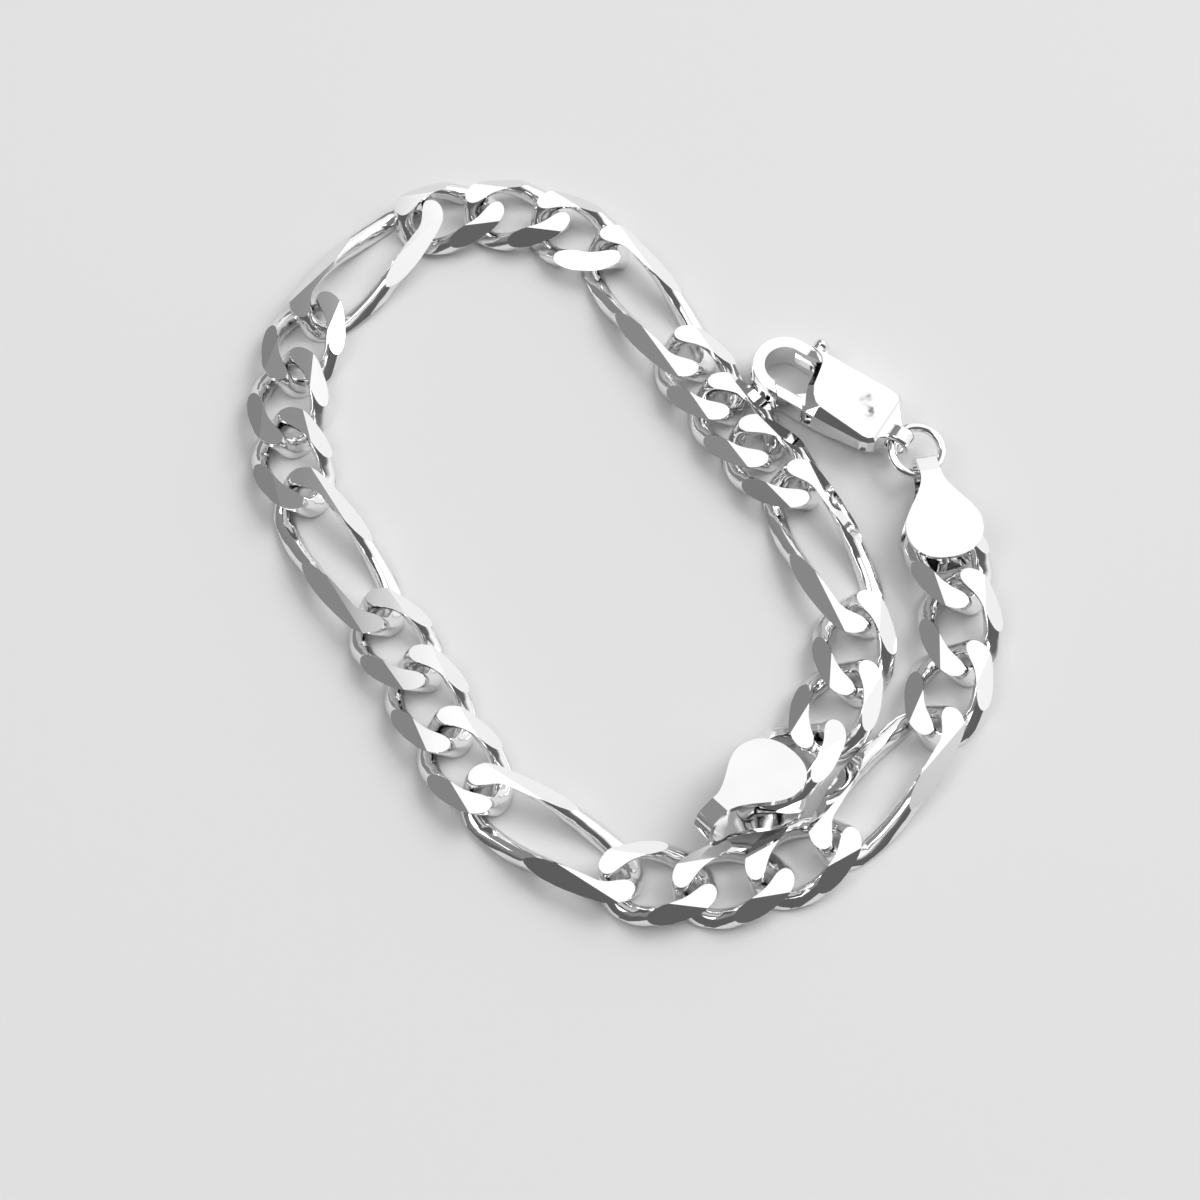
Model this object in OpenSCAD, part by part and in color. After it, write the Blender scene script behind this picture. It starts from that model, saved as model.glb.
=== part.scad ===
// Diamond-cut link bracelet: three short links and one long link in turn, two folded end tags,
// a jump ring and a lobster clasp, lying unclasped on a surface.
// Lengths are in millimetres and angles in degrees. Z = 0 is the surface that it lies on.

/* [Chain] */
// Width of the chain over its ground sides
chain_width = 6; // [5.6:0.1:6.6]
// Thickness of a link between its flat ground faces
chain_thickness = 2.2; // [1.9:0.05:2.5]
// Diameter of the round wire that every link is bent from
wire_d = 1.4; // [1.3:0.05:1.45]
// Length of a short link over its ends
short_length = 8.5; // [8.35:0.05:9.1]
// Length of a long link over its ends
long_length = 14.6; // [12.6:0.1:15.6]
// Twist of a link from its middle to each end
link_twist = 45; // [42:1:48]
// Width of the flat ground face across a link
flat_width = 3.3; // [3:0.1:3.6]
// Slope of the ground side faces down from the flat one
side_slope = 34; // [30:1:38]
// Play between two links that are pulled straight
link_play = 0.46; // [0.4:0.01:0.5]

/* [End tags] */
// Thickness of the sheet that the tags are folded from
sheet = 0.4; // [0.3:0.05:0.5]
// Length of a tag from its fold to its round end
tag_length = 8.5; // [8:0.1:9.5]
// Width of a tag at its round end
tag_width = 5.6; // [5:0.1:6]
// Width of a tag's neck and fold
tag_neck = 1.5; // [1.4:0.1:1.7]
// Distance from a tag's fold to the middle of the wire of the link that it holds, when pulled out
tag_reach = 6.1; // [5.9:0.1:6.3]
// Gap between a tag's leaf and the link that it holds
leaf_gap = 0.1; // [0.05:0.05:0.2]
// Diameter of the solder post that holds the link between the leaves
post_d = 1.1; // [0.8:0.1:1.2]
// How far the first link lies pushed into the clasp-end tag
clasp_tag_tuck = 1.5; // [1.2:0.1:1.8]
// Turn of the clasp-end tag on the link that it holds, seen from above
clasp_tag_turn = -5; // [-10:1:-4]
// How far the last link lies pushed into the free tag
free_tag_tuck = 0.8; // [0.6:0.1:1]
// How far the clasp-end tag lies off the middle of its link
clasp_tag_side = 0.2; // [0:0.1:0.4]
// How far the free tag lies off the middle of its link, towards the chain
free_tag_side = 0.6; // [0.5:0.1:0.7]
// Turn of the free tag on the link that it holds
free_tag_turn = 1; // [-2:1:4]
// Lean of the clasp-end tag, fold end up, on the edge of its round end
clasp_tag_lean = 3; // [2:0.5:4]
// Lean of the free tag, fold end up, on the edge of its round end
free_tag_lean = 9; // [8.5:0.5:9.5]
// Roll of the free tag about its length
free_tag_roll = 14; // [13:0.5:15]

/* [Jump ring] */
// Outer diameter of the jump ring
ring_outer = 4.4; // [4.3:0.1:4.7]
// Diameter of the jump ring's wire
ring_wire = 0.7; // [0.5:0.05:0.8]
// Height of the jump ring's middle over the surface
ring_height = 2.05; // [2:0.05:2.1]
// Lean of the jump ring, its far side up
ring_lean = 7; // [6:1:8]
// Play between the jump ring and the tag's fold
ring_play = 0.4; // [0.35:0.05:0.45]

/* [Clasp] */
// Length of the clasp body from the eye's middle to the end of the hook
clasp_length = 12.5; // [12.2:0.1:13.3]
// Width of the clasp over its sides
clasp_width = 4.9; // [4.7:0.1:5.2]
// Thickness of the clasp body
clasp_thickness = 3; // [2.9:0.05:3.3]
// Thickness of the hook
hook_thickness = 2.4; // [2:0.05:2.6]
// Width of the hook's band, seen from above
hook_band = 0.8; // [0.7:0.05:0.95]
// Width of the body's side bevels, seen from above
body_bevel = 0.5; // [0.3:0.05:0.6]
// Diameter of the eye's bore, which the jump ring passes through
eye_bore = 1.5; // [1.45:0.05:1.6]
// Width of the eye, along its bore
eye_width = 1.9; // [1.6:0.1:2.2]
// Height of the slot in the body that the lever turns in
slot_height = 1.3; // [1.1:0.05:1.4]
// Gap between the lever and the slot's floor and roof
slot_gap = 0.1; // [0.05:0.01:0.15]
// Thickness of the gate outside the body
gate_thickness = 2; // [1.8:0.05:2.2]
// Diameter of the lever's pin
pin_d = 0.9; // [0.7:0.05:1]
// Clearance around the pin in the lever, and between the gate and the hook
lever_clearance = 0.05; // [0.04:0.01:0.08]
// How far the lever turns to open the gate
lever_travel = 22; // [15:1:24]

/* [Hidden] */
$fn = 48;

// The route of the chain, from the first link's held end past the last link's one
ROUTE = [[22.9, 0.8], [24.7, -5.1], [24.6, -10.2], [22.3, -15.3], [15.1, -23.8], [10.3, -26.5], [5.2, -27.3],
    [-0.2, -26.7], [-9.7, -20.4], [-14.1, -11.3], [-17.2, -7], [-23.4, 2.9], [-24.7, 8], [-24.4, 13.3],
    [-22.5, 18.8], [-15.6, 26.65], [-10.1, 27.15], [-4.7, 26.5], [-0.4, 23.3], [5.35, 13.9], [10.05, 6.4],
    [13.3, 3.2], [17.4, -6.8], [16.8, -11.8], [14.2, -16.3], [5.5, -22.8]];
// A longer or shorter chain moves the loop's left side, by nothing at the first X and in full from the second
RAMP_X = [6, -16];
// Links that lie pushed up to the next one: number in the chain, and by how much
PUSHED_UP = [[15, 0.2], [19, 1], [20, 0.5], [21, 1], [22, 0.5], [23, 0.2], [24, 0.1]];

LINKS = 27;
GROUP = 4;                      // three short links and one long link
ARC_STEPS = 6;                  // steps in each round end of a link
SIDE_STEPS = 2;                 // steps in each side of a link
WIRE_SIDES = 6;
ROUTE_STEPS = 12;               // steps between two points of the route
SHEET_COLOUR = [0.86, 0.86, 0.85];
LINK_COLOUR = [0.8, 0.8, 0.79];
CLASP_COLOUR = [0.82, 0.82, 0.82];
LEVER_COLOUR = [0.72, 0.72, 0.73];

side_offset = (chain_width - wire_d) / 2;
end_half_height = chain_thickness / 2;
tag_thickness = chain_thickness + 2 * (leaf_gap + sheet);

function sum_to(count, i) = i < count ? pitch_after(i) + sum_to(count, i + 1) : 0;
function unit(v) = v / norm(v);

// Links by their number along the chain, from 0
function is_long(i) = i % GROUP == GROUP - 1;
function link_length(i) = is_long(i) ? long_length : short_length;
function two_digits(n) = str(n < 10 ? "0" : "", n);
function link_name(i) = is_long(i) ? str("long_", two_digits((i + 1) / GROUP))
    : str("short_", two_digits(i + 1 - floor(i / GROUP)));
function pushed_up(i) = let (found = [for (row = PUSHED_UP) if (row[0] == i) row[1]])
    len(found) > 0 ? found[0] : 0;

// A smooth curve through the points of the route, and the length along it
function spline(a, b, c, d, t) = 0.5 * (2 * b + (c - a) * t + (2 * a - 5 * b + 4 * c - d) * t * t
    + (3 * b - 3 * c + d - a) * t * t * t);
last_point = len(ROUTE) - 1;
laid_length = 174.6;            // length of the chain between the tags' holds that the route is laid for
chain_length = sum_to(LINKS, 0);
left_shift = (laid_length - chain_length) / 1.7;   // a shift moves both of the loop's long sides
function moved(p) = [p.x + left_shift * ramp((RAMP_X[0] - p.x) / (RAMP_X[0] - RAMP_X[1])), p.y];
function ramp(t) = t < 0 ? 0 : t > 1 ? 1 : t;
route = [for (p = ROUTE) moved(p)];
curve = [for (i = [0:last_point - 1], k = [0:ROUTE_STEPS - 1])
    spline(route[max(i - 1, 0)], route[i], route[i + 1], route[min(i + 2, last_point)], k / ROUTE_STEPS)];
end_direction = unit(route[last_point] - route[last_point - 1]);
run_out = 100;                  // straight stretch past the last point, for longer links
path = concat(curve, [route[last_point], route[last_point] + run_out * end_direction]);
along = [for (i = 0, s = 0; i < len(path); s = s + (i + 1 < len(path) ? norm(path[i + 1] - path[i]) : 0),
    i = i + 1) s];
route_x = [for (i = [0:len(path) - 1]) [along[i], path[i].x]];
route_y = [for (i = [0:len(path) - 1]) [along[i], path[i].y]];
function on_route(s) = [lookup(s, route_x), lookup(s, route_y)];

// Where each link's first and last wire middles lie along the route, which bends between the two
function hook_span(i) = link_length(i) - wire_d;
function bent_span(i, s) = hook_span(i) * hook_span(i) / norm(on_route(s + hook_span(i)) - on_route(s));
function nesting(i) = wire_d + link_play + pushed_up(i);
function pitch_after(i) = hook_span(i) - nesting(i);
starts = [for (i = 0, s = 0; i < LINKS; s = s + bent_span(i, s) - nesting(i), i = i + 1) s];
function link_start(i) = on_route(starts[i]);
function link_end(i) = on_route(starts[i] + bent_span(i, starts[i]));
function link_middle(i) = (link_start(i) + link_end(i)) / 2;
function link_heading(i) = let (d = link_end(i) - link_start(i)) atan2(d.y, d.x);

// The first two links and the last one lean and roll with their tags, and the others lie flat
function link_pitch(i) = i <= 1 ? -clasp_tag_lean : i == LINKS - 1 ? free_tag_lean : 0;
rest_allowance = 0.035;         // the ground edges of the end links reach this far past their points
function link_roll(i) = i == LINKS - 1 ? free_tag_roll : 0;
function height_over(p, i) = p.x * sin(link_pitch(i))
    + (p.y * sin(link_roll(i)) + p.z * cos(link_roll(i))) * cos(link_pitch(i));
function low_points(i) = concat(i == 1 ? [] : leaf_points(i), wire_points(link_length(i)));
function link_height(i) = link_pitch(i) == 0 ? chain_thickness / 2
    : rest_allowance - min([for (p = low_points(i)) height_over(p, i)]);

// A link's wire middle, by its flat loop before the twist and then twisted about its length
function flat_loop(length) = let (
        straight = (length - wire_d) / 2 - side_offset)
    concat(
        [for (k = [0:ARC_STEPS]) let (a = 180 * k / ARC_STEPS - 90)
            [straight + side_offset * cos(a), side_offset * sin(a)]],
        [for (k = [1:SIDE_STEPS - 1]) [straight * (1 - 2 * k / SIDE_STEPS), side_offset]],
        [for (k = [0:ARC_STEPS]) let (a = 180 * k / ARC_STEPS + 90)
            [side_offset * cos(a) - straight, side_offset * sin(a)]],
        [for (k = [1:SIDE_STEPS - 1]) [straight * (2 * k / SIDE_STEPS - 1), -side_offset]]);
function twist_at(x, length) = -2 * link_twist * x / (length - wire_d);
function twisted(p, length) = let (t = twist_at(p.x, length)) [p.x, p.y * cos(t), p.y * sin(t)];

// One six-sided section of the wire for each point of the loop
function wire_section(points, k, length) = let (
        n = len(points),
        ahead = unit(points[(k + 1) % n] - points[(k + n - 1) % n]),
        t = twist_at(points[k].x, length),
        across = unit(cross([0, -sin(t), cos(t)], ahead)),
        up = cross(ahead, across),
        r = wire_d / 2 * sqrt(2 * PI / WIRE_SIDES / sin(360 / WIRE_SIDES)))
    [for (j = [0:WIRE_SIDES - 1]) let (a = 360 * (j + 0.5) / WIRE_SIDES)
        points[k] + r * cos(a) * across + r * sin(a) * up];

function wire_middles(length) = [for (p = flat_loop(length)) twisted(p, length)];

// The wire's points, none of them below the flat ground face
function wire_points(length) = let (points = wire_middles(length))
    [for (k = [0:len(points) - 1], p = wire_section(points, k, length))
        [p.x, p.y, max(p.z, -chain_thickness / 2)]];

module twisted_loop(length) {
    points = wire_middles(length);
    n = len(points);
    polyhedron(
        [for (k = [0:n - 1]) each wire_section(points, k, length)],
        [for (k = [0:n - 1], j = [0:WIRE_SIDES - 1], half = [0, 1]) let (
                a = k * WIRE_SIDES + j,
                b = k * WIRE_SIDES + (j + 1) % WIRE_SIDES,
                c = (k + 1) % n * WIRE_SIDES + (j + 1) % WIRE_SIDES,
                d = (k + 1) % n * WIRE_SIDES + j)
            half == 0 ? [a, c, b] : [a, d, c]]);
}

// The six-sided outline that the chain is ground to, across its length
module ground_outline() {
    reach = flat_width / 2 + chain_thickness / 2 / tan(side_slope);
    polygon([[reach, 0], [flat_width / 2, chain_thickness / 2], [-flat_width / 2, chain_thickness / 2],
        [-reach, 0], [-flat_width / 2, -chain_thickness / 2], [flat_width / 2, -chain_thickness / 2]]);
}

module ground_link(length) {
    intersection() {
        twisted_loop(length);
        rotate([90, 0, 90])
            linear_extrude(height = length + wire_d, center = true) ground_outline();
    }
}

// Puts its children where a link lies, with X along the chain
module at_link(i) {
    translate([link_middle(i).x, link_middle(i).y, link_height(i)])
        rotate([link_roll(i), -link_pitch(i), link_heading(i)]) children();
}

module chain_link(i) {
    color(LINK_COLOUR) at_link(i) ground_link(link_length(i));
}

// A tag's outline from above: neck, shoulders and a blunt round end, X = 0 at the fold's outer end
tag_shoulder = tag_length - tag_width * 0.44;
bluntness = 0.87;
SHOULDER_STEPS = 10;
function ease(t) = t * t * (3 - 2 * t);
function blunt(v) = sign(v) * pow(abs(v), bluntness);
function tag_side(side, first_x) = concat(
    [for (k = [0:SHOULDER_STEPS]) let (t = k / SHOULDER_STEPS)
        [first_x + (tag_shoulder - first_x) * t, side * (tag_neck + (tag_width - tag_neck) * ease(t)) / 2]],
    [for (k = [1:SHOULDER_STEPS - 1]) let (a = 90 * k / SHOULDER_STEPS)
        [tag_shoulder + (tag_length - tag_shoulder) * blunt(sin(a)), side * tag_width / 2 * blunt(cos(a))]]);

// Where a tag's points lie in the frame of the link that it holds
function hold_x(i) = (i == 0 ? -1 : 1) * hook_span(i) / 2;
function hold_reach(i) = tag_reach - (i == 0 ? clasp_tag_tuck : free_tag_tuck);
function tag_turn(i) = i == 0 ? clasp_tag_turn : 180 + free_tag_turn;
function hold_side(i) = i == 0 ? clasp_tag_side : -free_tag_side;
function on_link(p, i) = let (x = p.x - hold_reach(i), y = p.y + hold_side(i), t = tag_turn(i))
    [hold_x(i) + x * cos(t) - y * sin(t), x * sin(t) + y * cos(t)];

// The corners of the lower leaf's underside
function leaf_points(i) = [for (side = [-1, 1], p = tag_side(side, lower_leaf_x)) let (q = on_link(p, i))
    [q.x, q.y, -tag_thickness / 2]];

// The fold from the side: the middle of the sheet from the upper leaf round to the lower one, as
// X in millimetres from its outer end and Z in shares of the leaves' half spacing
upper_leaf_x = 1.4;
lower_leaf_x = 1;
FOLD = [[upper_leaf_x + 0.1, 1], [upper_leaf_x, 1], [0.45, 0.75], [0.12, 0.4], [0, -0.05], [0.08, -0.42],
    [0.35, -0.78], [lower_leaf_x, -1], [lower_leaf_x + 0.1, -1]];

// The mitred step from a point of a line to the edge of the strip along it
function next_way(line, k) = let (from = min(k, len(line) - 2)) unit(line[from + 1] - line[from]);
function edge_step(line, k, half) = let (
        after = next_way(line, k),
        before = next_way(line, max(k - 1, 0)),
        across = unit([-after.y - before.y, after.x + before.x]))
    across * half / (across * [-after.y, after.x]);

module fold_section() {
    middle = [for (p = FOLD) [p.x + sheet / 2, p.y * (tag_thickness - sheet) / 2]];
    last = len(middle) - 1;
    polygon(concat(
        [for (k = [0:last]) middle[k] + edge_step(middle, k, sheet / 2)],
        [for (k = [last:-1:0]) middle[k] - edge_step(middle, k, sheet / 2)]));
}

module tag_leaf(first_x) {
    left = tag_side(1, first_x);
    right = tag_side(-1, first_x);
    linear_extrude(height = sheet)
        polygon(concat(left, [[tag_length, 0]], [for (k = [len(right) - 1:-1:0]) right[k]]));
}

// A folded tag, X = 0 at its fold and Z = 0 midway between its leaves
module folded_tag() {
    post_x = tag_reach + wire_d / 2 + leaf_gap + post_d / 2;
    translate([0, 0, tag_thickness / 2 - sheet]) tag_leaf(upper_leaf_x + sheet / 2);
    translate([0, 0, -tag_thickness / 2]) tag_leaf(lower_leaf_x + sheet / 2);
    translate([post_x, 0, 0]) cylinder(h = tag_thickness - sheet, d = post_d, center = true);
    rotate([90, 0, 0]) linear_extrude(height = tag_neck, center = true) fold_section();
}

module end_tag(i) {
    color(SHEET_COLOUR) at_link(i) translate([hold_x(i), 0, 0]) rotate([0, 0, tag_turn(i)])
        translate([-hold_reach(i), hold_side(i), 0]) folded_tag();
}

// The jump ring hangs in the clasp-end tag's fold and in the clasp's eye
function turned(v, angle) = [v.x * cos(angle) - v.y * sin(angle), v.x * sin(angle) + v.y * cos(angle)];
fold_on_link = on_link([0, 0], 0);
fold_end = link_middle(0)
    + turned([fold_on_link.x * cos(clasp_tag_lean), fold_on_link.y], link_heading(0));
heading_in = turned([1, 0], link_heading(0) + clasp_tag_turn);
ring_radius = (ring_outer - ring_wire) / 2;
ring_depth = sheet + ring_wire / 2 + ring_play;   // from the fold's outer end to the ring's wire middle
ring_side = 0.25;               // towards the clasp
ring_middle = fold_end - (ring_radius - ring_depth) * heading_in - ring_side * turned(heading_in, 90);

module jump_ring() {
    color(LINK_COLOUR) translate([ring_middle.x, ring_middle.y, ring_height]) rotate([ring_lean, 0, 0])
        rotate_extrude() translate([ring_radius, 0]) circle(d = ring_wire);
}

// The clasp: X along it from the eye's middle, Y towards its gate, Z from its mid-plane
clasp_heading = 147;
eye_bearing = 142;              // from the ring's middle to the eye
hook_radius = clasp_width / 2;
hook_x = clasp_length - hook_radius;
inner_radius = hook_radius - hook_band;
eye_outer = eye_bore + 0.9;
eye_thickness = 2.2;
eye_side = 0.4;                 // the eye's middle lies this far towards the gate
eye_ease = 0.14;                // and this far inside the ring's wire
eye_lift = 0.45;                // and this far over the clasp's mid-plane
body_rear = 0.6;                // where the body starts behind the eye
shoulder_x = 1.75;              // where the body reaches its full width
front_x = clasp_length * 0.59;  // the middle of the body's front edge
slot_rear = clasp_length * 0.264;
slot_wall = 0.75;               // wall beside the slot
tip_x = clasp_length * 0.769;   // the hook's tip
tip_slant = 40;                 // slant of its end face, so that the gate swings clear
gate_inner = 0.65;              // the gate's inner side, as a share of the half width
pivot = [clasp_length * 0.488, hook_radius * 0.16];
hub_d = 2;
arm_width = 0.9;
nub_at = [clasp_length * 0.694, -hook_radius - 0.55];
nub_d = 1.1;
gate_foot_x = [clasp_length * 0.628, clasp_length * 0.686];   // where the hub's web joins the gate
pin_length = clasp_thickness - 0.7;
overlap = 0.05;                 // by which pieces of one solid run into each other

module at_clasp() {
    bow = pow(eye_width / 2, 2) / (2 * ring_radius);   // of the ring's wire inside the eye
    eye = ring_middle + (ring_radius - bow / 2 - eye_ease) * [cos(eye_bearing), sin(eye_bearing)];
    translate([eye.x, eye.y, clasp_thickness / 2]) rotate([0, 0, clasp_heading])
        translate([0, -eye_side, 0]) children();
}

// A slice of the clasp's plan, as thick as given and centred on the mid-plane
module slab(thickness) {
    linear_extrude(height = thickness, center = true) children();
}

// The body's front edge: share of the half width, and how far ahead of its middle
FRONT_EDGE = [[-1, 1.45], [-0.82, 0.7], [-0.63, 0.3], [0.14, 0], [0.45, -0.3], [0.7, -0.6], [1, -0.75]];
front_gate_x = front_x + FRONT_EDGE[len(FRONT_EDGE) - 1].y;

module body_plan() {
    polygon(concat([[body_rear - overlap, eye_side - eye_width / 2], [shoulder_x, -hook_radius]],
        [for (row = FRONT_EDGE) [front_x + row.y, hook_radius * row.x]],
        [[shoulder_x, hook_radius], [body_rear - overlap, eye_side + eye_width / 2]]));
}

// Across the body, with bevels along its four long edges
module body_section() {
    y = hook_radius;
    z = clasp_thickness / 2;
    polygon([[y, z - body_bevel], [y - body_bevel, z], [body_bevel - y, z], [-y, z - body_bevel],
        [-y, body_bevel - z], [body_bevel - y, -z], [y - body_bevel, -z], [y, body_bevel - z]]);
}

// Along the body, which thins towards the eye
module body_side() {
    z = clasp_thickness / 2;
    thin = eye_thickness / 2;
    polygon([[0, thin], [body_rear, thin], [shoulder_x - body_bevel, z], [clasp_length, z],
        [clasp_length, -z], [shoulder_x - body_bevel, -z], [body_rear, -thin], [0, -thin]]);
}

function tip_face(y, gap) = tip_x - (y - (hook_radius + inner_radius) / 2) * tan(tip_slant)
    - gap / cos(tip_slant);

// The hook: a round end with two straight strands, the one on the gate's side cut off short
module hook() {
    difference() {
        union() {
            translate([hook_x, 0, 0]) cylinder(h = hook_thickness, r = hook_radius, center = true);
            translate([front_x, -hook_radius, -hook_thickness / 2])
                cube([hook_x - front_x, 2 * hook_radius, hook_thickness]);
        }
        translate([hook_x, 0, 0]) cylinder(h = 2 * hook_thickness, r = inner_radius, center = true);
        translate([0, -inner_radius, -hook_thickness]) cube([hook_x, 2 * inner_radius, 2 * hook_thickness]);
        slab(2 * hook_thickness) polygon([[0, 0], [tip_face(0, 0), 0],
            [tip_face(2 * hook_radius, 0), 2 * hook_radius], [0, 2 * hook_radius]]);
    }
}

// Where the turned arm crosses the body's side, and from there the opening for it
open_bearing = atan2(nub_at.y - pivot.y, nub_at.x - pivot.x) - lever_travel;
arm_opening_x = pivot.x - (hook_radius - slot_wall + pivot.y) / tan(open_bearing) - arm_width;

module slot_plan() {
    side = hook_radius - slot_wall;
    gate_rear = front_gate_x - slot_wall / 2;
    polygon([[slot_rear, -side], [arm_opening_x, -side], [arm_opening_x, -2 * hook_radius],
        [hook_x, -2 * hook_radius], [hook_x, 2 * hook_radius],
        [gate_rear, 2 * hook_radius], [gate_rear, side], [slot_rear, side]]);
}

module clasp_body() {
    color(CLASP_COLOUR) at_clasp() difference() {
        union() {
            intersection() {
                slab(clasp_thickness) body_plan();
                rotate([90, 0, 90]) linear_extrude(height = clasp_length) body_section();
                rotate([90, 0, 0]) linear_extrude(height = clasp_width, center = true) body_side();
            }
            hook();
            translate([0, eye_side, eye_lift]) rotate([90, 0, 0])
                cylinder(h = eye_width, d = eye_outer, center = true);
            translate([0, eye_side - eye_width / 2, -eye_thickness / 2])
                cube([body_rear, eye_width, eye_thickness]);
        }
        slab(slot_height) slot_plan();
        translate([0, 0, eye_lift]) rotate([90, 0, 0])
            cylinder(h = 3 * eye_width, d = eye_bore, center = true);
        translate(pivot)
            cylinder(h = pin_length + 2 * leaf_gap, d = pin_d + lever_clearance, center = true);
    }
}

// The lever: a gate that closes the hook, a hub and an arm to the thumb nub
module gate_plan() {
    rear = front_gate_x + 3 * lever_clearance;
    inner_y = hook_radius * gate_inner;
    polygon([[rear, hook_radius], [rear + slot_wall / 2, inner_y],
        [tip_face(inner_y, lever_clearance), inner_y],
        [tip_face(hook_radius, lever_clearance), hook_radius]]);
}

module arm_plan() {
    along_arm = unit(nub_at - pivot);
    side = [-along_arm.y, along_arm.x] * arm_width / 2;
    polygon([pivot + side, nub_at + side, nub_at - side, pivot - side]);
    translate(pivot) circle(d = hub_d);
    translate(nub_at) circle(d = nub_d);
    hub_edge = hub_d / 2 - overlap;
    polygon([pivot, [pivot.x, pivot.y + hub_edge], [gate_foot_x[0], hook_radius - slot_wall / 2],
        [gate_foot_x[1], hook_radius * gate_inner], [pivot.x + hub_edge, pivot.y]]);
}

module clasp_lever() {
    color(LEVER_COLOUR) at_clasp() difference() {
        union() {
            slab(slot_height - 2 * slot_gap) arm_plan();
            slab(gate_thickness) gate_plan();
        }
        translate(pivot) cylinder(h = clasp_thickness, d = pin_d + 2 * lever_clearance, center = true);
    }
}

module clasp_pin() {
    color(LEVER_COLOUR) at_clasp() translate(pivot) cylinder(h = pin_length, d = pin_d, center = true);
}

for (i = [0:LINKS - 1]) {
    chain_link(i);
}
end_tag(0);  // end_tag_clasp
end_tag(LINKS - 1);  // end_tag_free
jump_ring();
clasp_body();
clasp_lever();
clasp_pin();
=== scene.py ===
"""A polished silver link bracelet lying unclasped on a pale surface, seen from above and in front.

The links, tags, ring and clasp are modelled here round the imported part, in metres and in its frame.
"""

import math

import bpy
import numpy as np
from mathutils import Matrix, Vector


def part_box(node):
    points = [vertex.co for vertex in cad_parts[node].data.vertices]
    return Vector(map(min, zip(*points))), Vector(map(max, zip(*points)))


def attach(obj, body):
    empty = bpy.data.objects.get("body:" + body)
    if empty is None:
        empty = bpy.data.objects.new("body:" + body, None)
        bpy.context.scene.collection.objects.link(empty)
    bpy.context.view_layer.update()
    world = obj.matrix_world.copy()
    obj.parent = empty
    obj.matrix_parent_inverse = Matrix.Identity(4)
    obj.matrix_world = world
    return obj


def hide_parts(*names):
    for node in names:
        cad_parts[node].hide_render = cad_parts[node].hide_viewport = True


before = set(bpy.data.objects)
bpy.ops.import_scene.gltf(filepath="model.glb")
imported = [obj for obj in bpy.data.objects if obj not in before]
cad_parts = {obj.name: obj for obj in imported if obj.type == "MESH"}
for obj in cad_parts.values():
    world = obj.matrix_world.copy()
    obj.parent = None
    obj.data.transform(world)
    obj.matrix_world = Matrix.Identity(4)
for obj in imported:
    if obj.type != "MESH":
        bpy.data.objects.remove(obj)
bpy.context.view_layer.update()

MM = 0.001

# Pieces are modelled in millimetres, each round a place of its own, and then placed in metres.
# The links' sizes, as in the part's source
WIRE_D = 1.4
CHAIN_WIDTH = 6
CHAIN_THICKNESS = 2.2
SHORT_LENGTH = 8.5
LONG_LENGTH = 14.6
LINK_TWIST = math.radians(45)
FLAT_WIDTH = 3.3
SIDE_SLOPE = math.radians(34)
SIDE_OFFSET = (CHAIN_WIDTH - WIRE_D) / 2

# Looks of the links: the wire is fattened above PRESS_FROM in small steps, the side cuts underneath are
# lighter than those on top, long links are drawn in at the middle, and faces past CUT_AREA are ground ones
PRESS_FROM = 0.3
PRESS_STEP = 0.07
PRESS_COUNT = 10
PRESSED_BY = 0.15
UNDER_CUT_EASE = 0.22
WAIST_REACHES = (0.4, 0.9, 1.3, 1.8, 2.3, 2.8)
WAIST_DEPTH = 0.12
CUT_AREA = 0.3
CUT_EDGE = 0.035
SHORT_SIDE_CUTS = 3
LONG_SIDE_CUTS = 12

# End tags
SHEET = 0.4
TAG_LENGTH = 8.5
TAG_WIDTH = 5.6
TAG_NECK = 1.5
TAG_REACH = 6.1
LEAF_GAP = 0.1
POST_D = 1.1
LEAF_Z = CHAIN_THICKNESS / 2 + LEAF_GAP + SHEET / 2
TAG_EDGE = 0.09
POST_WAIST = 0.85

# Per tag: the link it holds, which end of it, how far it is slid on, how far aside, and its turn in degrees
TAG_HOLDS = {
    "end_tag_clasp": ("short_01", -1, 1.5, 0.2, -5),
    "end_tag_free": ("short_21", 1, 0.8, -0.6, 181)}

# Jump ring
RING_D = 4.4
RING_WIRE = 0.7
RING_LEAN = math.radians(7)
SEAM_REACH = 0.05
SEAM_DEPTH = 0.02

# Clasp, X along it from the eye's middle, Y towards its gate
CLASP_LENGTH = 12.5
CLASP_HEADING = math.radians(147)
HALF_WIDTH = 2.45
HALF_THICK = 1.5
HOOK_HALF_THICK = 1.2
HOOK_BAND = 0.8
HOOK_SWELL = 0.16
HOOK_SOLE = 0.92
HOOK_CHAMFER = 0.22
HOOK_RISE = 0.55
HOOK_X = CLASP_LENGTH - HALF_WIDTH
HOOK_TIP = 0.769 * CLASP_LENGTH
TIP_SLANT = math.radians(40)
HOOK_EDGE = 0.07
HOOK_ROOT = 6.6
DISC_REAR = 4
MOUTH_START = 0.2
STRAND_THICKENS = (9.4, 8.6)
STRAND_GAIN = 1.2
PIVOT_PLACE = (6.1, 0.392, 0)
PIN_RADIUS = 0.45
PIN_LENGTH = 2.3
PIN_BORE = 0.475
PIN_EDGE = 0.08
CAST_EDGE = 0.04

# The clasp's eye
EYE_SIDE = 0.4
EYE_LIFT = 0.45
EYE_RADIUS = 1.14
EYE_WIDTH = 1.36
EYE_BORE = 0.77
EYE_EDGE = 0.3
ACROSS = (math.pi / 2, 0, 0)
THROUGH = 5

# The slot that the lever turns in, cut from the middle of the body out to the hook
SLOT_HALF = 0.65
SLOT_OUTLINE = [(3.3, -1.7), (6.1, -1.7), (6.1, -5), (HOOK_X, -5),
                (HOOK_X, 5), (6.3, 5), (6.3, 1.7), (3.3, 1.7)]

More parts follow.
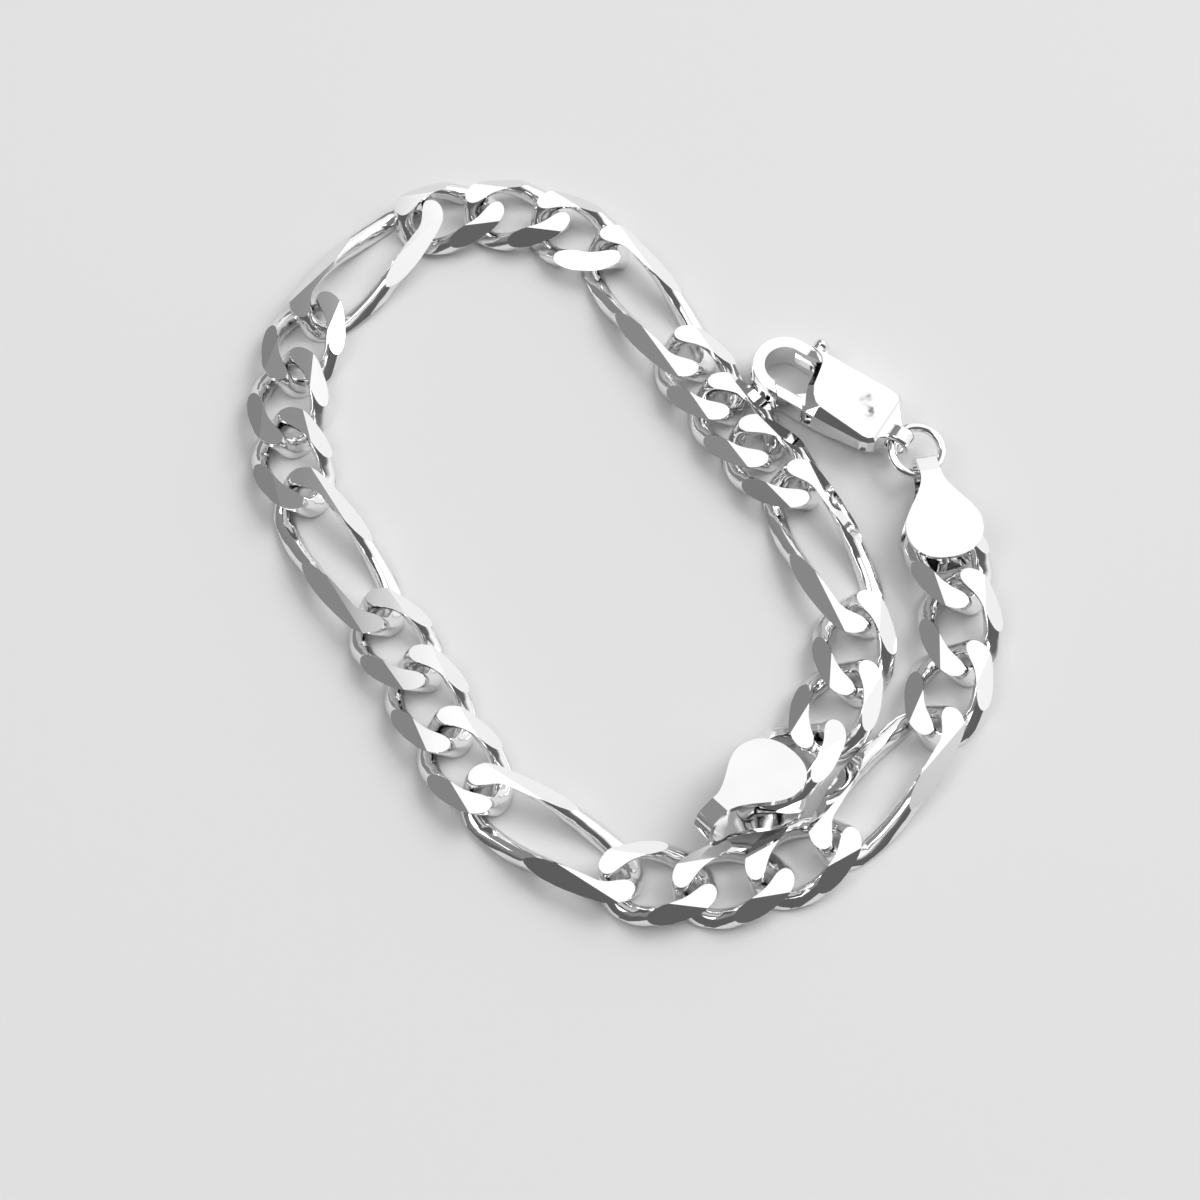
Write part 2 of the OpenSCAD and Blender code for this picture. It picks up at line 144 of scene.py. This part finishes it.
# The lever
GATE_REAR = 7.1
GATE_SLANT = 0.45
GATE_HALF = 1
GATE_EDGE = 0.12
TIP_GAP = 0.065
ARM_HALF = 0.55
ARM_OUTLINE = [(5.65, 0.3), (8.3, -3.15), (9.05, -2.85), (6.6, 0.6)]
WEB_OUTLINE = [(6.1, 0.39), (6.1, 1.34), (7.85, 2.07), (8.57, 1.59), (7.05, 0.39)]
HUB_RADIUS = 1
LEVER_BORE = 0.5
KNOB_PLACE = (8.82, -3.2, 0)
KNOB_RADIUS = 0.68
KNOB_STRETCH = 1.6

# Light: strengths of the walls round the table, and where the walls begin and end
BRIGHT_WALL = 1.14
GREY_WALL = 0.29
DARK_ROOM = 0.12
LOW_WALL = 0.84
KEY_WATTS = 4.5
FILL_WATTS = 1.5
GREY_TO_BRIGHT = (-0.11, -0.05)
DARK_TO_LIT = (-0.5, -0.1)
LOW_TO_HIGH = (0.25, 0.85)
KEY_PLACE = (0.6, 0.35, 0.7)
KEY_SIZE = 0.6
FILL_PLACE = (-0.4, -0.05, 0.75)
FILL_SIZE = 0.5

# Camera, at the photo's angle, its place in millimetres, and the floor in metres
CAMERA_PLACE = (-1.3, -84.0, 177.33)
CAMERA_TILT = math.radians(24)
CAMERA_LENS = 80.7
CAMERA_FILM = 36
FLOOR_SIZE = 3
FLOOR_DROP = 0.00002


# Modelling helpers

def edit():
    """Edit mode with nothing selected."""
    bpy.ops.object.mode_set(mode="EDIT")
    bpy.ops.mesh.select_all(action="DESELECT")


def done():
    bpy.ops.object.mode_set(mode="OBJECT")


def pick(piece, test):
    """Edit mode with the vertices that pass the test selected."""
    bpy.context.view_layer.objects.active = piece
    edit()
    bpy.ops.mesh.select_mode(type="VERT")
    done()
    for v in piece.data.vertices:
        v.select = test(v.co)
    bpy.ops.object.mode_set(mode="EDIT")


def pick_numbers(piece, numbers):
    """Edit mode with the vertices of these numbers selected."""
    edit()
    bpy.ops.mesh.select_mode(type="VERT")
    done()
    for number in numbers:
        piece.data.vertices[number].select = True
    bpy.ops.object.mode_set(mode="EDIT")


def build_up(name, layers):
    """A solid drawn point by point as its lowest outline, then pulled up from layer to layer."""
    clear()
    bpy.ops.mesh.primitive_circle_add(vertices=len(layers[0]), radius=1, fill_type="NGON")
    solid = fresh(name)
    rim = list(range(len(layers[0])))
    for level, layer in enumerate(layers):
        if level:
            pick_numbers(solid, rim)
            bpy.ops.mesh.select_mode(type="FACE")
            bpy.ops.mesh.extrude_region_move(TRANSFORM_OT_translate={"value": (0, 0, 0.1)})
            done()
            raised = [v for v in solid.data.vertices if v.select]
            below = [Vector(spot) for spot in layers[level - 1]]
            rim = [min(raised, key=lambda v: (v.co - spot).length).index for spot in below]
        for number, target in zip(rim, layer):
            step = Vector(target) - solid.data.vertices[number].co
            pick_numbers(solid, [number])
            bpy.ops.transform.translate(value=step)
            done()
    edit()
    bpy.ops.mesh.select_all(action="SELECT")
    bpy.ops.mesh.normals_make_consistent(inside=False)
    done()
    return solid


def draw_plate(name, outline, low, high):
    """A plate of the given outline."""
    return build_up(name, [[(x, y, low) for x, y in outline], [(x, y, high) for x, y in outline]])


def combine(piece, other, operation):
    """Unites the piece with the other one, or cuts it away, and removes the other."""
    apply(piece, "BOOLEAN", operation=operation, object=other, solver="EXACT")
    bpy.data.objects.remove(other)


def ease_edges(piece, width, angle, segments=2):
    """Takes the sharpness off every edge that turns by more than the angle."""
    apply(piece, "BEVEL", width=width, segments=segments, limit_method="ANGLE",
          angle_limit=math.radians(angle), harden_normals=False)


def fresh(name):
    """Names the piece that was just added."""
    piece = bpy.context.object
    piece.name = piece.data.name = name
    return piece


def clear():
    bpy.ops.object.select_all(action="DESELECT")


def add_rod(name, sides, radius, length, place, turn=(0, 0, 0)):
    """A round rod with its middle at the place, upright unless it is turned."""
    clear()
    bpy.ops.mesh.primitive_cylinder_add(vertices=sides, radius=radius, depth=length, location=place,
                                        rotation=turn)
    rod = fresh(name)
    bpy.ops.object.transform_apply(location=True, rotation=True)
    return rod


def apply(piece, kind, **settings):
    """Adds a modifier with its settings and applies it."""
    bpy.context.view_layer.objects.active = piece
    modifier = piece.modifiers.new(kind, kind)
    for key, value in settings.items():
        setattr(modifier, key, value)
    bpy.ops.object.modifier_apply(modifier=modifier.name)


def smooth(piece, angle):
    """Smooth shading that leaves large flat faces flat."""
    clear()
    piece.select_set(True)
    bpy.context.view_layer.objects.active = piece
    bpy.ops.object.shade_smooth_by_angle(angle=math.radians(angle))
    apply(piece, "WEIGHTED_NORMAL", keep_sharp=True, weight=90)


# Materials

def linear(hex_code):
    """An sRGB colour written as hex, as linear RGBA."""
    parts = [int(hex_code[i:i + 2], 16) / 255 for i in (1, 3, 5)]
    return [p / 12.92 if p <= 0.04045 else ((p + 0.055) / 1.055) ** 2.4 for p in parts] + [1.0]


def node(tree, kind, links=None, **settings):
    """Adds a node, sets its sockets and properties, and links its inputs."""
    made = tree.nodes.new(kind)
    for key, value in settings.items():
        if key in made.inputs:
            made.inputs[key].default_value = value
        else:
            setattr(made, key, value)
    for key, source in (links or {}).items():
        tree.links.new(source, made.inputs[key])
    return made


def new_material(name):
    material = bpy.data.materials.new(name)
    material.use_nodes = True
    material.node_tree.nodes.clear()
    return material


def silver(name, colour, roughness, wave_mm, wave_height_mm):
    """Sterling silver, polished on a wheel: bright, with slow waves left by the polishing."""
    material = new_material(name)
    tree = material.node_tree
    place = node(tree, "ShaderNodeTexCoord")
    waves = node(tree, "ShaderNodeTexNoise", {"Vector": place.outputs["Object"]},
                 Scale=1 / (wave_mm * MM), Detail=0.6, Roughness=0.5)
    bump = node(tree, "ShaderNodeBump", {"Height": waves.outputs["Fac"]},
                Strength=1.0, Distance=wave_height_mm * MM)
    shader = node(tree, "ShaderNodeBsdfPrincipled", {"Normal": bump.outputs["Normal"]},
                  Metallic=1.0, Roughness=roughness, **{"Base Color": linear(colour)})
    node(tree, "ShaderNodeOutputMaterial", {"Surface": shader.outputs["BSDF"]})
    return material


# Faces ground and cut with a diamond: the flattest and brightest, they mirror one wall each
CUT_SILVER = silver("silver_diamond_cut", "#f4f4f4", 0.05, 2.5, 0.003)
# Round wire polished by tumbling: a little softer, it draws the walls as thin lines along each strand
WIRE_SILVER = silver("silver_tumbled_wire", "#f0f0f0", 0.09, 1.2, 0.005)
# Sheet stamped out, folded and buffed: nearly even white, with slow shallow waves
SHEET_SILVER = silver("silver_stamped_sheet", "#f3f3f3", 0.08, 4.5, 0.4)
# Cast, filed and polished by hand: bright faces with soft irregular dips
CAST_SILVER = silver("silver_cast_polished", "#f3f3f3", 0.07, 3.0, 0.015)
# Drawn wire, bent and soldered shut: smooth and even all round
RING_SILVER = silver("silver_drawn_ring_wire", "#f2f2f2", 0.07, 1.5, 0.002)


# Camera, floor and light

def look_from_photo():
    camera = bpy.data.cameras.new("photo_camera")
    camera.lens = CAMERA_LENS
    camera.sensor_width = CAMERA_FILM
    camera.clip_start, camera.clip_end = 0.01, 10
    holder = bpy.data.objects.new("photo_camera", camera)
    holder.location = Vector(CAMERA_PLACE) * MM
    holder.rotation_euler = (CAMERA_TILT, 0, 0)
    bpy.context.scene.collection.objects.link(holder)
    bpy.context.scene.camera = holder


def lay_floor():
    clear()
    bpy.ops.mesh.primitive_plane_add(size=FLOOR_SIZE, location=(0, 0, -FLOOR_DROP))
    floor = fresh("floor")
    material = new_material("pale_card")
    tree = material.node_tree
    shader = node(tree, "ShaderNodeBsdfPrincipled", Roughness=0.85, **{"Base Color": linear("#e2e2e2")})
    node(tree, "ShaderNodeOutputMaterial", {"Surface": shader.outputs["BSDF"]})
    floor.data.materials.append(material)


def area_light(name, place, size, power):
    """A square soft lamp that faces the bracelet's middle."""
    light = bpy.data.lights.new(name, "AREA")
    light.shape = "RECTANGLE"
    light.size, light.size_y = size, size
    light.energy = power
    lamp = bpy.data.objects.new(name, light)
    lamp.location = place
    lamp.rotation_euler = (-Vector(place)).to_track_quat("-Z", "Y").to_euler()
    bpy.context.scene.collection.objects.link(lamp)


def light_studio():
    """A bright window wall to the right and behind, a grey wall to the left and a dark room in front."""
    world = bpy.data.worlds.new("studio")
    bpy.context.scene.world = world
    world.use_nodes = True
    tree = world.node_tree
    tree.nodes.clear()
    place = node(tree, "ShaderNodeTexCoord")
    split = node(tree, "ShaderNodeSeparateXYZ", {"Vector": place.outputs["Generated"]})
    side = node(tree, "ShaderNodeMapRange", {"Value": split.outputs["X"]},
                **{"From Min": GREY_TO_BRIGHT[0], "From Max": GREY_TO_BRIGHT[1],
                   "To Min": GREY_WALL, "To Max": BRIGHT_WALL},
                interpolation_type="SMOOTHSTEP")
    front = node(tree, "ShaderNodeMapRange", {"Value": split.outputs["Y"]},
                 **{"From Min": DARK_TO_LIT[0], "From Max": DARK_TO_LIT[1],
                    "To Min": DARK_ROOM, "To Max": 1.0},
                 interpolation_type="SMOOTHSTEP")
    both = node(tree, "ShaderNodeMath", {0: side.outputs["Result"], 1: front.outputs["Result"]},
                operation="MULTIPLY")
    height = node(tree, "ShaderNodeMapRange", {"Value": split.outputs["Z"]},
                  **{"From Min": LOW_TO_HIGH[0], "From Max": LOW_TO_HIGH[1],
                     "To Min": LOW_WALL, "To Max": 1.0})
    shaded = node(tree, "ShaderNodeMath", {0: both.outputs["Value"], 1: height.outputs["Result"]},
                  operation="MULTIPLY")
    least = node(tree, "ShaderNodeMath", {0: shaded.outputs["Value"]}, operation="MAXIMUM")
    least.inputs[1].default_value = DARK_ROOM
    glow = node(tree, "ShaderNodeBackground", {"Strength": least.outputs["Value"]}, Color=(1, 1, 1, 1))
    node(tree, "ShaderNodeOutputWorld", {"Surface": glow.outputs["Background"]})
    area_light("key", KEY_PLACE, KEY_SIZE, KEY_WATTS)
    area_light("fill", FILL_PLACE, FILL_SIZE, FILL_WATTS)


look_from_photo()
lay_floor()
light_studio()
bpy.context.scene.view_settings.view_transform = "Standard"


# Links

def keep_under(piece, point, outward):
    """Grinds the piece flat: all that is past the plane goes, and the cut is closed."""
    edit()
    bpy.ops.mesh.select_all(action="SELECT")
    bpy.ops.mesh.bisect(plane_co=point, plane_no=outward, use_fill=True, clear_outer=True, threshold=1e-4)
    done()


def make_link(name, length, side_cuts):
    """A round wire loop, drawn out, twisted about its length, pressed and ground on six sides."""
    clear()
    bpy.ops.mesh.primitive_torus_add(major_radius=SIDE_OFFSET, minor_radius=WIRE_D / 2,
                                     major_segments=64, minor_segments=40)
    link = fresh(name)
    straight = (length - WIRE_D) / 2 - SIDE_OFFSET
    for side in (1, -1):
        pick(link, lambda co: side * co.x > 1e-3)
        bpy.ops.transform.translate(value=(side * straight, 0, 0))
    for k in range(1, side_cuts + 1):
        for side in (1, -1):
            bpy.ops.mesh.select_all(action="SELECT")
            bpy.ops.mesh.bisect(plane_co=(side * straight * k / (side_cuts + 1), 0, 0), plane_no=(1, 0, 0))
    done()
    apply(link, "SIMPLE_DEFORM", deform_method="TWIST", deform_axis="X",
          angle=-2 * LINK_TWIST * length / (length - WIRE_D))
    for k in range(PRESS_COUNT):
        pick(link, lambda co: abs(co.z) > PRESS_FROM + PRESS_STEP * k)
        bpy.ops.transform.shrink_fatten(value=PRESSED_BY / PRESS_COUNT)
        done()
    for reach in WAIST_REACHES if length > SHORT_LENGTH else ():
        for side in (1, -1):
            pick(link, lambda co: abs(co.x) < reach and side * co.y > 0)
            bpy.ops.transform.translate(value=(0, -side * WAIST_DEPTH / len(WAIST_REACHES), 0))
            done()
    for up in (1, -1):
        keep_under(link, (0, 0, up * CHAIN_THICKNESS / 2), (0, 0, up))
        for side in (1, -1):
            outward = Vector((0, side * math.sin(SIDE_SLOPE), up * math.cos(SIDE_SLOPE)))
            edge = Vector((0, side * FLAT_WIDTH / 2, up * CHAIN_THICKNESS / 2))
            keep_under(link, edge + (0 if up > 0 else UNDER_CUT_EASE) * outward, outward)
    link.data.materials.append(WIRE_SILVER)
    link.data.materials.append(CUT_SILVER)
    for face in link.data.polygons:
        face.material_index = 1 if face.area > CUT_AREA else 0
    ease_edges(link, CUT_EDGE, 18)
    smooth(link, 24)
    return link


def link_place(name):
    """Where a link lies, from its CAD node: the middle of its corners and its own three axes."""
    points = np.unique(np.round([v.co[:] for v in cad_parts[name].data.vertices], 7), axis=0)
    middle = Vector(points.mean(axis=0))
    points = points - points.mean(axis=0)
    spread, axes = np.linalg.eigh(points.T @ points)
    along, up = Vector(axes[:, 2]), Vector(axes[:, 0])
    if up.z < 0:
        up.negate()
    across = up.cross(along)
    turn = Matrix((along, across, up)).transposed().to_4x4()
    return Matrix.Translation(middle) @ turn @ Matrix.Scale(MM, 4)


def put_copy(pattern, name, place, body, slot_name, *nodes):
    piece = bpy.data.objects.new(name, pattern.data.copy())
    piece.data.name = name
    bpy.context.scene.collection.objects.link(piece)
    piece.data.transform(place)
    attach(piece, body)
    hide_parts(*nodes)
    return piece


short_link = make_link("short_pattern", SHORT_LENGTH, SHORT_SIDE_CUTS)
long_link = make_link("long_pattern", LONG_LENGTH, LONG_SIDE_CUTS)
for name in sorted(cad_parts):
    if name.startswith(("short_", "long_")):
        pattern = short_link if name.startswith("short_") else long_link
        put_copy(pattern, name + "_silver", link_place(name), "bracelet", "silver", name)
for pattern in (short_link, long_link):
    bpy.data.objects.remove(pattern)


# End tags

SHOULDER = TAG_LENGTH - TAG_WIDTH * 0.44
ROUNDNESS = 0.87
UPPER_LEAF_START = 1.75
LOWER_LEAF_START = 1.35

# The fold seen from the side, from the upper leaf round to the lower one
FOLD_PATH = [(1.6, 1.4), (1.1, 1.23), (0.65, 1.05), (0.44, 0.84), (0.32, 0.56), (0.22, 0.25), (0.2, -0.07),
             (0.22, -0.35), (0.28, -0.59), (0.38, -0.85), (0.55, -1.09), (0.85, -1.27), (1.2, -1.4)]


def leaf_stations(first_x):
    """Places along a leaf, from its neck to its round end, each with its half width."""
    neck_steps, round_steps, last_bearing = 12, 11, 88
    stations = []
    for k in range(neck_steps + 1):
        t = k / neck_steps
        ease = t * t * (3 - 2 * t)
        half_width = (TAG_NECK + (TAG_WIDTH - TAG_NECK) * ease) / 2
        stations.append((first_x + (SHOULDER - first_x) * t, half_width))
    for k in range(1, round_steps + 1):
        a = math.radians(last_bearing * k / round_steps)
        stations.append((SHOULDER + (TAG_LENGTH - SHOULDER) * math.sin(a) ** ROUNDNESS,
                         TAG_WIDTH / 2 * math.cos(a) ** ROUNDNESS))
    return stations


def make_tag(name):
    """A strip of sheet shaped to two spoon-like leaves, folded over, with a solder post between them."""
    upper = [(x, LEAF_Z, w) for x, w in leaf_stations(UPPER_LEAF_START)]
    lower = [(x, -LEAF_Z, w) for x, w in leaf_stations(LOWER_LEAF_START)]
    stations = upper[::-1] + [(x, z, TAG_NECK / 2) for x, z in FOLD_PATH] + lower
    clear()
    bpy.ops.mesh.primitive_grid_add(x_subdivisions=len(stations) - 1, y_subdivisions=8, size=2)
    tag = fresh(name)
    columns = [[] for _ in stations]
    for v in tag.data.vertices:
        columns[round((v.co.x + 1) / 2 * (len(stations) - 1))].append(v.index)
    for (x, z, half_width), column in zip(stations, columns):
        now = tag.data.vertices[column[0]].co.x
        pick_numbers(tag, column)
        bpy.ops.transform.resize(value=(1, half_width, 1), center_override=(0, 0, 0))
        bpy.ops.transform.translate(value=(x - now, 0, z))
        done()
    apply(tag, "SOLIDIFY", thickness=SHEET, offset=0, use_even_offset=True)
    ease_edges(tag, TAG_EDGE, 50, 3)
    post_x = TAG_REACH + WIRE_D / 2 + LEAF_GAP + POST_D / 2
    post = add_rod("solder_post", 32, POST_D / 2, 2 * LEAF_Z, (post_x, 0, 0))
    edit()
    for level in (-0.8, 0, 0.8):
        bpy.ops.mesh.select_all(action="SELECT")
        bpy.ops.mesh.bisect(plane_co=(0, 0, level), plane_no=(0, 0, 1))
    done()
    pick(post, lambda co: abs(co.z) < 0.9)
    bpy.ops.transform.resize(value=(POST_WAIST, POST_WAIST, 1))
    done()
    combine(tag, post, "UNION")
    tag.data.materials.clear()
    tag.data.materials.append(SHEET_SILVER)
    smooth(tag, 32)
    return tag


def tag_place(name):
    """Where a tag lies on the link that it holds."""
    link, end, tuck, side, turn = TAG_HOLDS[name]
    place = link_place(link)
    low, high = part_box(name)
    outward = (low + high) / 2 - place.translation
    if end * place.col[0].xyz.dot(outward) < 0:
        place = place @ Matrix.Rotation(math.pi, 4, "Z")
    length = SHORT_LENGTH - WIRE_D
    swing = Matrix.Rotation(math.radians(turn), 4, "Z")
    return (place @ Matrix.Translation((end * length / 2, 0, 0)) @ swing
            @ Matrix.Translation((tuck - TAG_REACH, side, 0)))


tag_pattern = make_tag("tag_pattern")
for name in TAG_HOLDS:
    put_copy(tag_pattern, name + "_silver", tag_place(name), "bracelet", "silver", name)
bpy.data.objects.remove(tag_pattern)


# Jump ring

def make_ring(name):
    """A ring of round wire, closed by a soldered seam that is filed a little thinner."""
    clear()
    bpy.ops.mesh.primitive_torus_add(major_radius=(RING_D - RING_WIRE) / 2, minor_radius=RING_WIRE / 2,
                                     major_segments=128, minor_segments=32)
    ring = fresh(name)
    pick(ring, lambda co: co.y < 0 and abs(co.x) < SEAM_REACH)
    bpy.ops.transform.shrink_fatten(value=-SEAM_DEPTH)
    done()
    ring.data.materials.append(RING_SILVER)
    smooth(ring, 60)
    return ring


def ring_place():
    low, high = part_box("jump_ring")
    return Matrix.Translation((low + high) / 2) @ Matrix.Rotation(RING_LEAN, 4, "X") @ Matrix.Scale(MM, 4)


ring_pattern = make_ring("ring_pattern")
put_copy(ring_pattern, "jump_ring_silver", ring_place(), "bracelet", "silver", "jump_ring")
bpy.data.objects.remove(ring_pattern)


# Clasp

# The body's corners, from the rear corner away from the gate round to the one on the gate's side:
# place of the side wall, heights of its lower and upper rim, corner of the top face and of the bottom
BODY_CORNERS = [
    ((1.20, -2.00), (-1.1, 1.25), (1.46, -1.90), (1.7, -1.70)),
    ((1.55, -2.30), (-1.1, 1.30), (1.75, -2.20), (2.0, -1.95)),
    ((2.50, -2.45), (-1.1, 1.30), (2.50, -2.32), (2.6, -2.05)),
    ((9.20, -2.45), (-1.1, 1.30), (9.20, -2.32), (9.0, -2.05)),
    ((8.90, -2.00), (-1.0, 1.20), (8.60, -2.20), (8.7, -1.90)),
    ((8.45, -1.75), (-1.0, 1.05), (8.10, -1.99), (8.3, -1.60)),
    ((8.15, -1.30), (-1.0, 1.05), (7.78, -1.54), (8.0, -1.20)),
    ((7.95, -0.60), (-1.0, 1.05), (7.55, -0.60), (7.8, -0.60)),
    ((7.80, 0.45), (-1.0, 1.05), (7.37, 0.35), (7.65, 0.40)),
    ((7.50, 1.25), (-1.0, 1.05), (7.00, 1.05), (7.35, 1.15)),
    ((7.20, 1.80), (-1.0, 1.05), (6.50, 1.57), (7.0, 1.60)),
    ((6.95, 2.45), (-1.0, 1.00), (6.12, 1.72), (6.7, 1.95)),
    ((5.20, 2.45), (-0.8, 1.00), (5.20, 1.82), (5.2, 1.90)),
    ((3.60, 2.45), (-0.4, 1.10), (3.60, 1.98), (3.8, 1.70)),
    ((2.20, 2.45), (-0.1, 1.20), (2.20, 2.12), (2.8, 1.40)),
    ((1.60, 2.30), (-0.1, 1.25), (1.75, 2.05), (2.3, 1.20)),
    ((1.20, 1.95), (-0.3, 1.25), (1.46, 1.80), (2.0, 0.90))]
TAIL = [(1.90, -2.10, 1.42), (1.90, 2.10, 1.42), (1.45, 1.80, 1.40), (0.80, 1.20, 1.25), (0.20, 1.10, 1.15),
        (0.20, -0.30, 1.15), (0.55, -0.78, 1.25), (1.30, -1.85, 1.40)]


# Shallow dents left in the body's top by casting and polishing: place, radius, depth
DENTS = [((4.4, -0.1), 1.7, 0.16), ((2.9, 0.9), 1.1, 0.09)]
DENT_RINGS = (1.0, 0.84, 0.68, 0.52, 0.36, 0.2)
DENT_GRID_START = 1.5
DENT_GRID = 0.25


def make_body_block():
    """The body: a thick block with chamfers all round, widest along the opening and the gate's side."""
    block = build_up("body_block", [
        [(*bottom, -HALF_THICK) for _, _, _, bottom in BODY_CORNERS],
        [(*side, rims[0]) for side, rims, _, _ in BODY_CORNERS],
        [(*side, rims[1]) for side, rims, _, _ in BODY_CORNERS],
        [(*top, HALF_THICK) for _, _, top, _ in BODY_CORNERS]])
    edit()
    for k in range(1, 19):
        bpy.ops.mesh.select_all(action="SELECT")
        bpy.ops.mesh.bisect(plane_co=(DENT_GRID_START + DENT_GRID * k, 0, 0), plane_no=(1, 0, 0))
    for k in range(-6, 7):
        bpy.ops.mesh.select_all(action="SELECT")
        bpy.ops.mesh.bisect(plane_co=(0, DENT_GRID * k, 0), plane_no=(0, 1, 0))
    done()
    for (x, y), radius, depth in DENTS:
        for part in DENT_RINGS:
            reach = part * radius
            pick(block, lambda co: co.z > HALF_THICK - 0.3 and math.hypot(co.x - x, co.y - y) < reach)
            bpy.ops.transform.translate(value=(0, 0, -depth / len(DENT_RINGS)))
            done()
    tail = build_up("tail", [[(x, y, -0.3 - 0.35 * x) for x, y, z in TAIL], TAIL])
    ease_edges(tail, 0.15, 40, 3)
    combine(block, tail, "UNION")
    return block


def stretched_disc(name, radius, depth, chamfer=0, rise=0):
    """A disc round the hook's middle, its rear half drawn back into the body, chamfered above and below."""
    disc = add_rod(name, 96, radius, depth, (HOOK_X, 0, 0))
    pick(disc, lambda co: co.x < HOOK_X - 1e-3)
    bpy.ops.transform.translate(value=(DISC_REAR - HOOK_X, 0, 0))
    done()
    for up in (1, -1) if chamfer else ():
        pick(disc, lambda co: up * co.z > depth / 2 - 1e-3)
        bpy.ops.mesh.select_mode(type="FACE")
        bpy.ops.mesh.inset(thickness=chamfer)
        bpy.ops.transform.translate(value=(0, 0, up * rise))
        done()
    return disc


def tip_x(y, gap=0):
    """Where the hook's slanting tip face is at this distance from the clasp's axis."""
    return HOOK_TIP - (y - HALF_WIDTH + HOOK_BAND / 2) * math.tan(TIP_SLANT) - gap


def make_hook():
    """The hook: a flat band bent round, one strand running into the body and one ending in a tip."""
    sole = 2 * (HOOK_HALF_THICK - HOOK_RISE)
    hook = stretched_disc("hook", HALF_WIDTH + HOOK_SWELL, sole, HOOK_CHAMFER, HOOK_RISE)
    combine(hook, stretched_disc("inside", HALF_WIDTH - HOOK_SOLE, 6), "DIFFERENCE")
    keep_under(hook, (HOOK_ROOT, 0, 0), (-1, 0, 0))
    mouth = draw_plate("mouth", [(DISC_REAR, MOUTH_START), (tip_x(MOUTH_START), MOUTH_START), (tip_x(3), 3),
                                 (DISC_REAR, 3)], -3, 3)
    combine(hook, mouth, "DIFFERENCE")
    edit()
    for x in STRAND_THICKENS:
        bpy.ops.mesh.select_all(action="SELECT")
        bpy.ops.mesh.bisect(plane_co=(x, 0, 0), plane_no=(1, 0, 0))
    done()
    pick(hook, lambda co: co.y < 0 and co.x < sum(STRAND_THICKENS) / 2)
    bpy.ops.transform.resize(value=(1, 1, STRAND_GAIN), center_override=(0, 0, 0))
    done()
    ease_edges(hook, HOOK_EDGE, 40, 3)
    return hook


def make_eye():
    """The eye: a broad band round a bore that runs across the clasp, its edges rounded."""
    eye = add_rod("eye", 64, EYE_RADIUS, EYE_WIDTH, (0, EYE_SIDE, EYE_LIFT), ACROSS)
    ease_edges(eye, EYE_EDGE, 60, 4)
    return eye


def make_clasp_body(name):
    """A cast lobster clasp: body, hook and eye in one, with the lever's slot and both bores cut in."""
    body = make_body_block()
    combine(body, make_hook(), "UNION")
    combine(body, make_eye(), "UNION")
    combine(body, draw_plate("slot", SLOT_OUTLINE, -SLOT_HALF, SLOT_HALF), "DIFFERENCE")
    combine(body, add_rod("eye_bore", 48, EYE_BORE, THROUGH, (0, EYE_SIDE, EYE_LIFT), ACROSS), "DIFFERENCE")
    combine(body, add_rod("pin_bore", 32, PIN_BORE, 2.5, PIVOT_PLACE), "DIFFERENCE")
    ease_edges(body, CAST_EDGE, 32)
    body.name = body.data.name = name
    body.data.materials.clear()
    body.data.materials.append(CAST_SILVER)
    smooth(body, 30)
    return body


def make_lever(name):
    """The lever: a gate that closes the hook, a hub on the pin and an arm with a round thumb knob."""
    inner = HALF_WIDTH - HOOK_SOLE
    gate = draw_plate(name, [(GATE_REAR, HALF_WIDTH), (GATE_REAR + GATE_SLANT, inner),
                             (tip_x(inner, TIP_GAP), inner), (tip_x(HALF_WIDTH, TIP_GAP), HALF_WIDTH)],
                      -GATE_HALF, GATE_HALF)
    ease_edges(gate, GATE_EDGE, 50, 3)
    combine(gate, draw_plate("arm", ARM_OUTLINE, -ARM_HALF, ARM_HALF), "UNION")
    combine(gate, draw_plate("web", WEB_OUTLINE, -ARM_HALF, ARM_HALF), "UNION")
    combine(gate, add_rod("hub", 48, HUB_RADIUS, 2 * ARM_HALF, PIVOT_PLACE), "UNION")
    clear()
    bpy.ops.mesh.primitive_uv_sphere_add(segments=32, ring_count=16, radius=KNOB_RADIUS, location=KNOB_PLACE)
    knob = fresh("knob")
    bpy.ops.object.transform_apply(location=True)
    edit()
    bpy.ops.mesh.select_all(action="SELECT")
    bpy.ops.transform.resize(value=(1, 1, KNOB_STRETCH))
    done()
    combine(gate, knob, "UNION")
    combine(gate, add_rod("lever_bore", 32, LEVER_BORE, 3, PIVOT_PLACE), "DIFFERENCE")
    gate.data.materials.clear()
    gate.data.materials.append(CAST_SILVER)
    smooth(gate, 30)
    return gate


def make_pin(name):
    """The hinge pin, with both ends rounded off."""
    pin = add_rod(name, 32, PIN_RADIUS, PIN_LENGTH, PIVOT_PLACE)
    ease_edges(pin, PIN_EDGE, 60, 3)
    pin.data.materials.append(CAST_SILVER)
    smooth(pin, 30)
    return pin


def clasp_place():
    low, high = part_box("clasp_pin")
    pivot = (low + high) / 2
    turn = Matrix.Rotation(CLASP_HEADING, 4, "Z")
    return Matrix.Translation(pivot) @ turn @ Matrix.Scale(MM, 4) @ Matrix.Translation(-Vector(PIVOT_PLACE))


for pattern, body, node_name in ((make_clasp_body("body_pattern"), "bracelet", "clasp_body"),
                                 (make_lever("lever_pattern"), "lever", "clasp_lever"),
                                 (make_pin("pin_pattern"), "bracelet", "clasp_pin")):
    put_copy(pattern, node_name + "_silver", clasp_place(), body, "silver", node_name)
    bpy.data.objects.remove(pattern)

bpy.context.view_layer.update()
